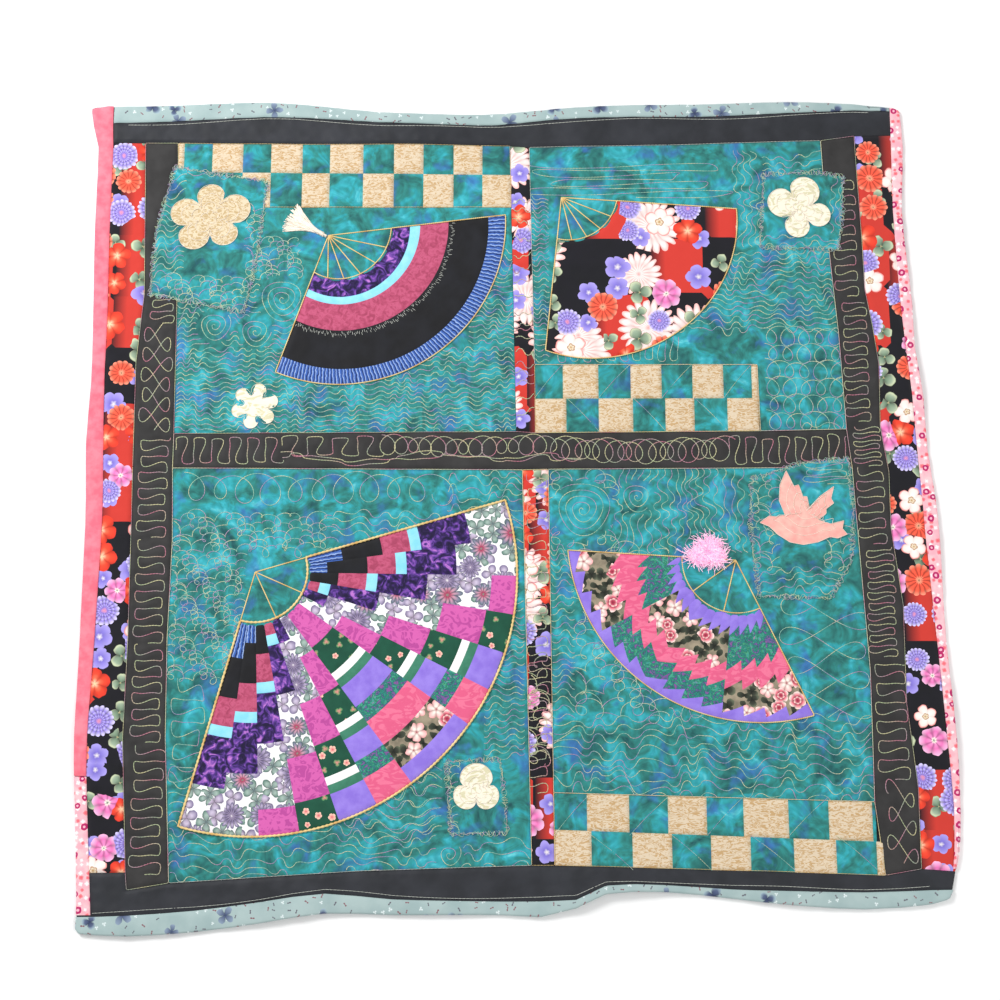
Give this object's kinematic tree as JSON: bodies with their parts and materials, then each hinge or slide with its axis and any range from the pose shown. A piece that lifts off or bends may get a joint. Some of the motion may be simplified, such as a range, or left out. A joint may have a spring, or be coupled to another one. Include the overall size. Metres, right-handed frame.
{
  "type": "patchwork fan quilt",
  "caption": "Square patchwork quilt laid out flat, with fan and flower cloths sewn on, dark sashing, printed borders, two-colour binding, a tassel and a yarn tuft.",
  "frame": {"origin": "middle of the quilt's box, on the surface that it lies on", "axes": "+Z out of the pieced top, +Y to the quilt's upper edge, +X to its right edge seen from above"},
  "size_m": [1.3071, 1.286, 0.0239],
  "materials": {
    "backing": "plain charcoal cotton",
    "teal": "mottled teal cotton",
    "charcoal": "charcoal polished cotton",
    "chequer": "tan printed cotton with teal squares",
    "floral": "black and red floral print",
    "blue_grey": "blue-grey printed cotton",
    "pink": "pink tonal cotton",
    "pink_print": "pink floral cotton",
    "fan_striped": "concentric bands of cotton",
    "fan_printed": "black and red floral print",
    "fan_stepped": "stepped patchwork of prints",
    "fan_zigzag": "zigzag patchwork of prints",
    "cream": "cream cotton",
    "soft_pink": "soft pink cotton",
    "tassel_thread": "cream viscose thread",
    "yarn_pink": "fluffy pink yarn",
    "quilting_thread": "variegated quilting thread"
  },
  "bodies": {
    "root": {"quilt_layers": "backing", "block_upper_left": "teal", "block_upper_right": "teal", "block_lower_left": "teal", "block_lower_right": "teal", "chequer_upper_left": "chequer", "chequer_upper_right": "chequer", "chequer_lower_right": "chequer", "strip_upper": "floral", "strip_lower": "floral", "sashing_middle": "charcoal", "sashing_left": "charcoal", "sashing_right": "charcoal", "band_top": "charcoal", "band_bottom": "charcoal", "border_left": "floral", "border_right": "floral", "binding_top": "blue_grey", "binding_bottom": "blue_grey", "binding_left_upper": "pink", "binding_left_lower": "pink_print", "binding_right": "pink_print", "fan_striped": "fan_striped", "fan_printed": "fan_printed", "fan_stepped": "fan_stepped", "fan_zigzag": "fan_zigzag", "patch_upper_left": "teal", "patch_upper_right": "teal", "patch_lower_right": "teal", "patch_lower_middle": "teal", "motif_blossom": "cream", "motif_butterfly": "cream", "motif_bird": "soft_pink", "motif_tulip": "cream", "motif_rose": "cream", "tassel": "tassel_thread", "yarn_tuft": "yarn_pink"}
  },
  "joints": []
}
